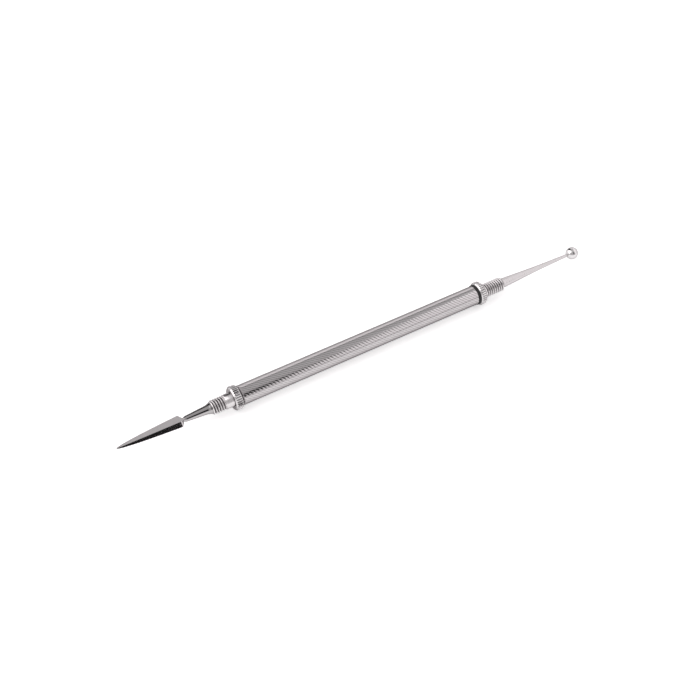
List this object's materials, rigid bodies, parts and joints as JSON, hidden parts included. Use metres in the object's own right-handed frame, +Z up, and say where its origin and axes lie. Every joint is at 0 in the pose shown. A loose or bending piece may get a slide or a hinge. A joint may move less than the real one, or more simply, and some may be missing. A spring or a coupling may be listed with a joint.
{
  "type": "double-ended pocket scriber",
  "caption": "Slim knurled metalworking hand tool with a lance scribing blade at one end and a ball burnisher at the other, each on a screw-in tip unit with a knurled collar.",
  "frame": {"origin": "middle of the handle on its axis", "axes": "+X along the tool's axis towards the ball, -X towards the blade, +Z up when it lies on a bench"},
  "size_m": [0.1472, 0.0068, 0.0068],
  "materials": {
    "handle_steel": "satin, diagonal knurl",
    "washer_rubber": "matt black",
    "collar_steel": "polished faces, straight knurl",
    "thread_steel": "bright machined",
    "polished_steel": "mirror polish",
    "blade_steel": "ground flats",
    "stem_steel": "satin",
    "ball_steel": "mirror polish"
  },
  "bodies": {
    "handle": {"handle_tube": "handle_steel"},
    "blade_carrier": {"blade_washer": "washer_rubber"},
    "blade_unit": {"blade_collar": "collar_steel", "blade_stud": "thread_steel", "blade_shank": "polished_steel", "lance_blade": "blade_steel"},
    "ball_carrier": {"ball_washer": "washer_rubber"},
    "ball_unit": {"ball_collar": "collar_steel", "ball_stud": "thread_steel", "ball_stem": "stem_steel", "burnisher_ball": "ball_steel"}
  },
  "joints": [
    {"name": "blade_travel", "type": "slide", "parent": "handle", "child": "blade_carrier", "axis": [-1, 0, 0], "range_m": [0, 0.00595]},
    {"name": "blade_unscrew", "type": "hinge", "parent": "blade_carrier", "child": "blade_unit", "pos_m": [-0.0378, 0, 0], "axis": [-1, 0, 0], "range_deg": [0, 3065]},
    {"name": "ball_travel", "type": "slide", "parent": "handle", "child": "ball_carrier", "axis": [1, 0, 0], "range_m": [0, 0.00595]},
    {"name": "ball_unscrew", "type": "hinge", "parent": "ball_carrier", "child": "ball_unit", "pos_m": [0.0382, 0, 0], "axis": [1, 0, 0], "range_deg": [0, 3065]}
  ],
  "couplings": [
    {"joint": "blade_unscrew", "follows": "blade_travel", "rad_per_m": 8976},
    {"joint": "ball_unscrew", "follows": "ball_travel", "rad_per_m": 8976}
  ]
}
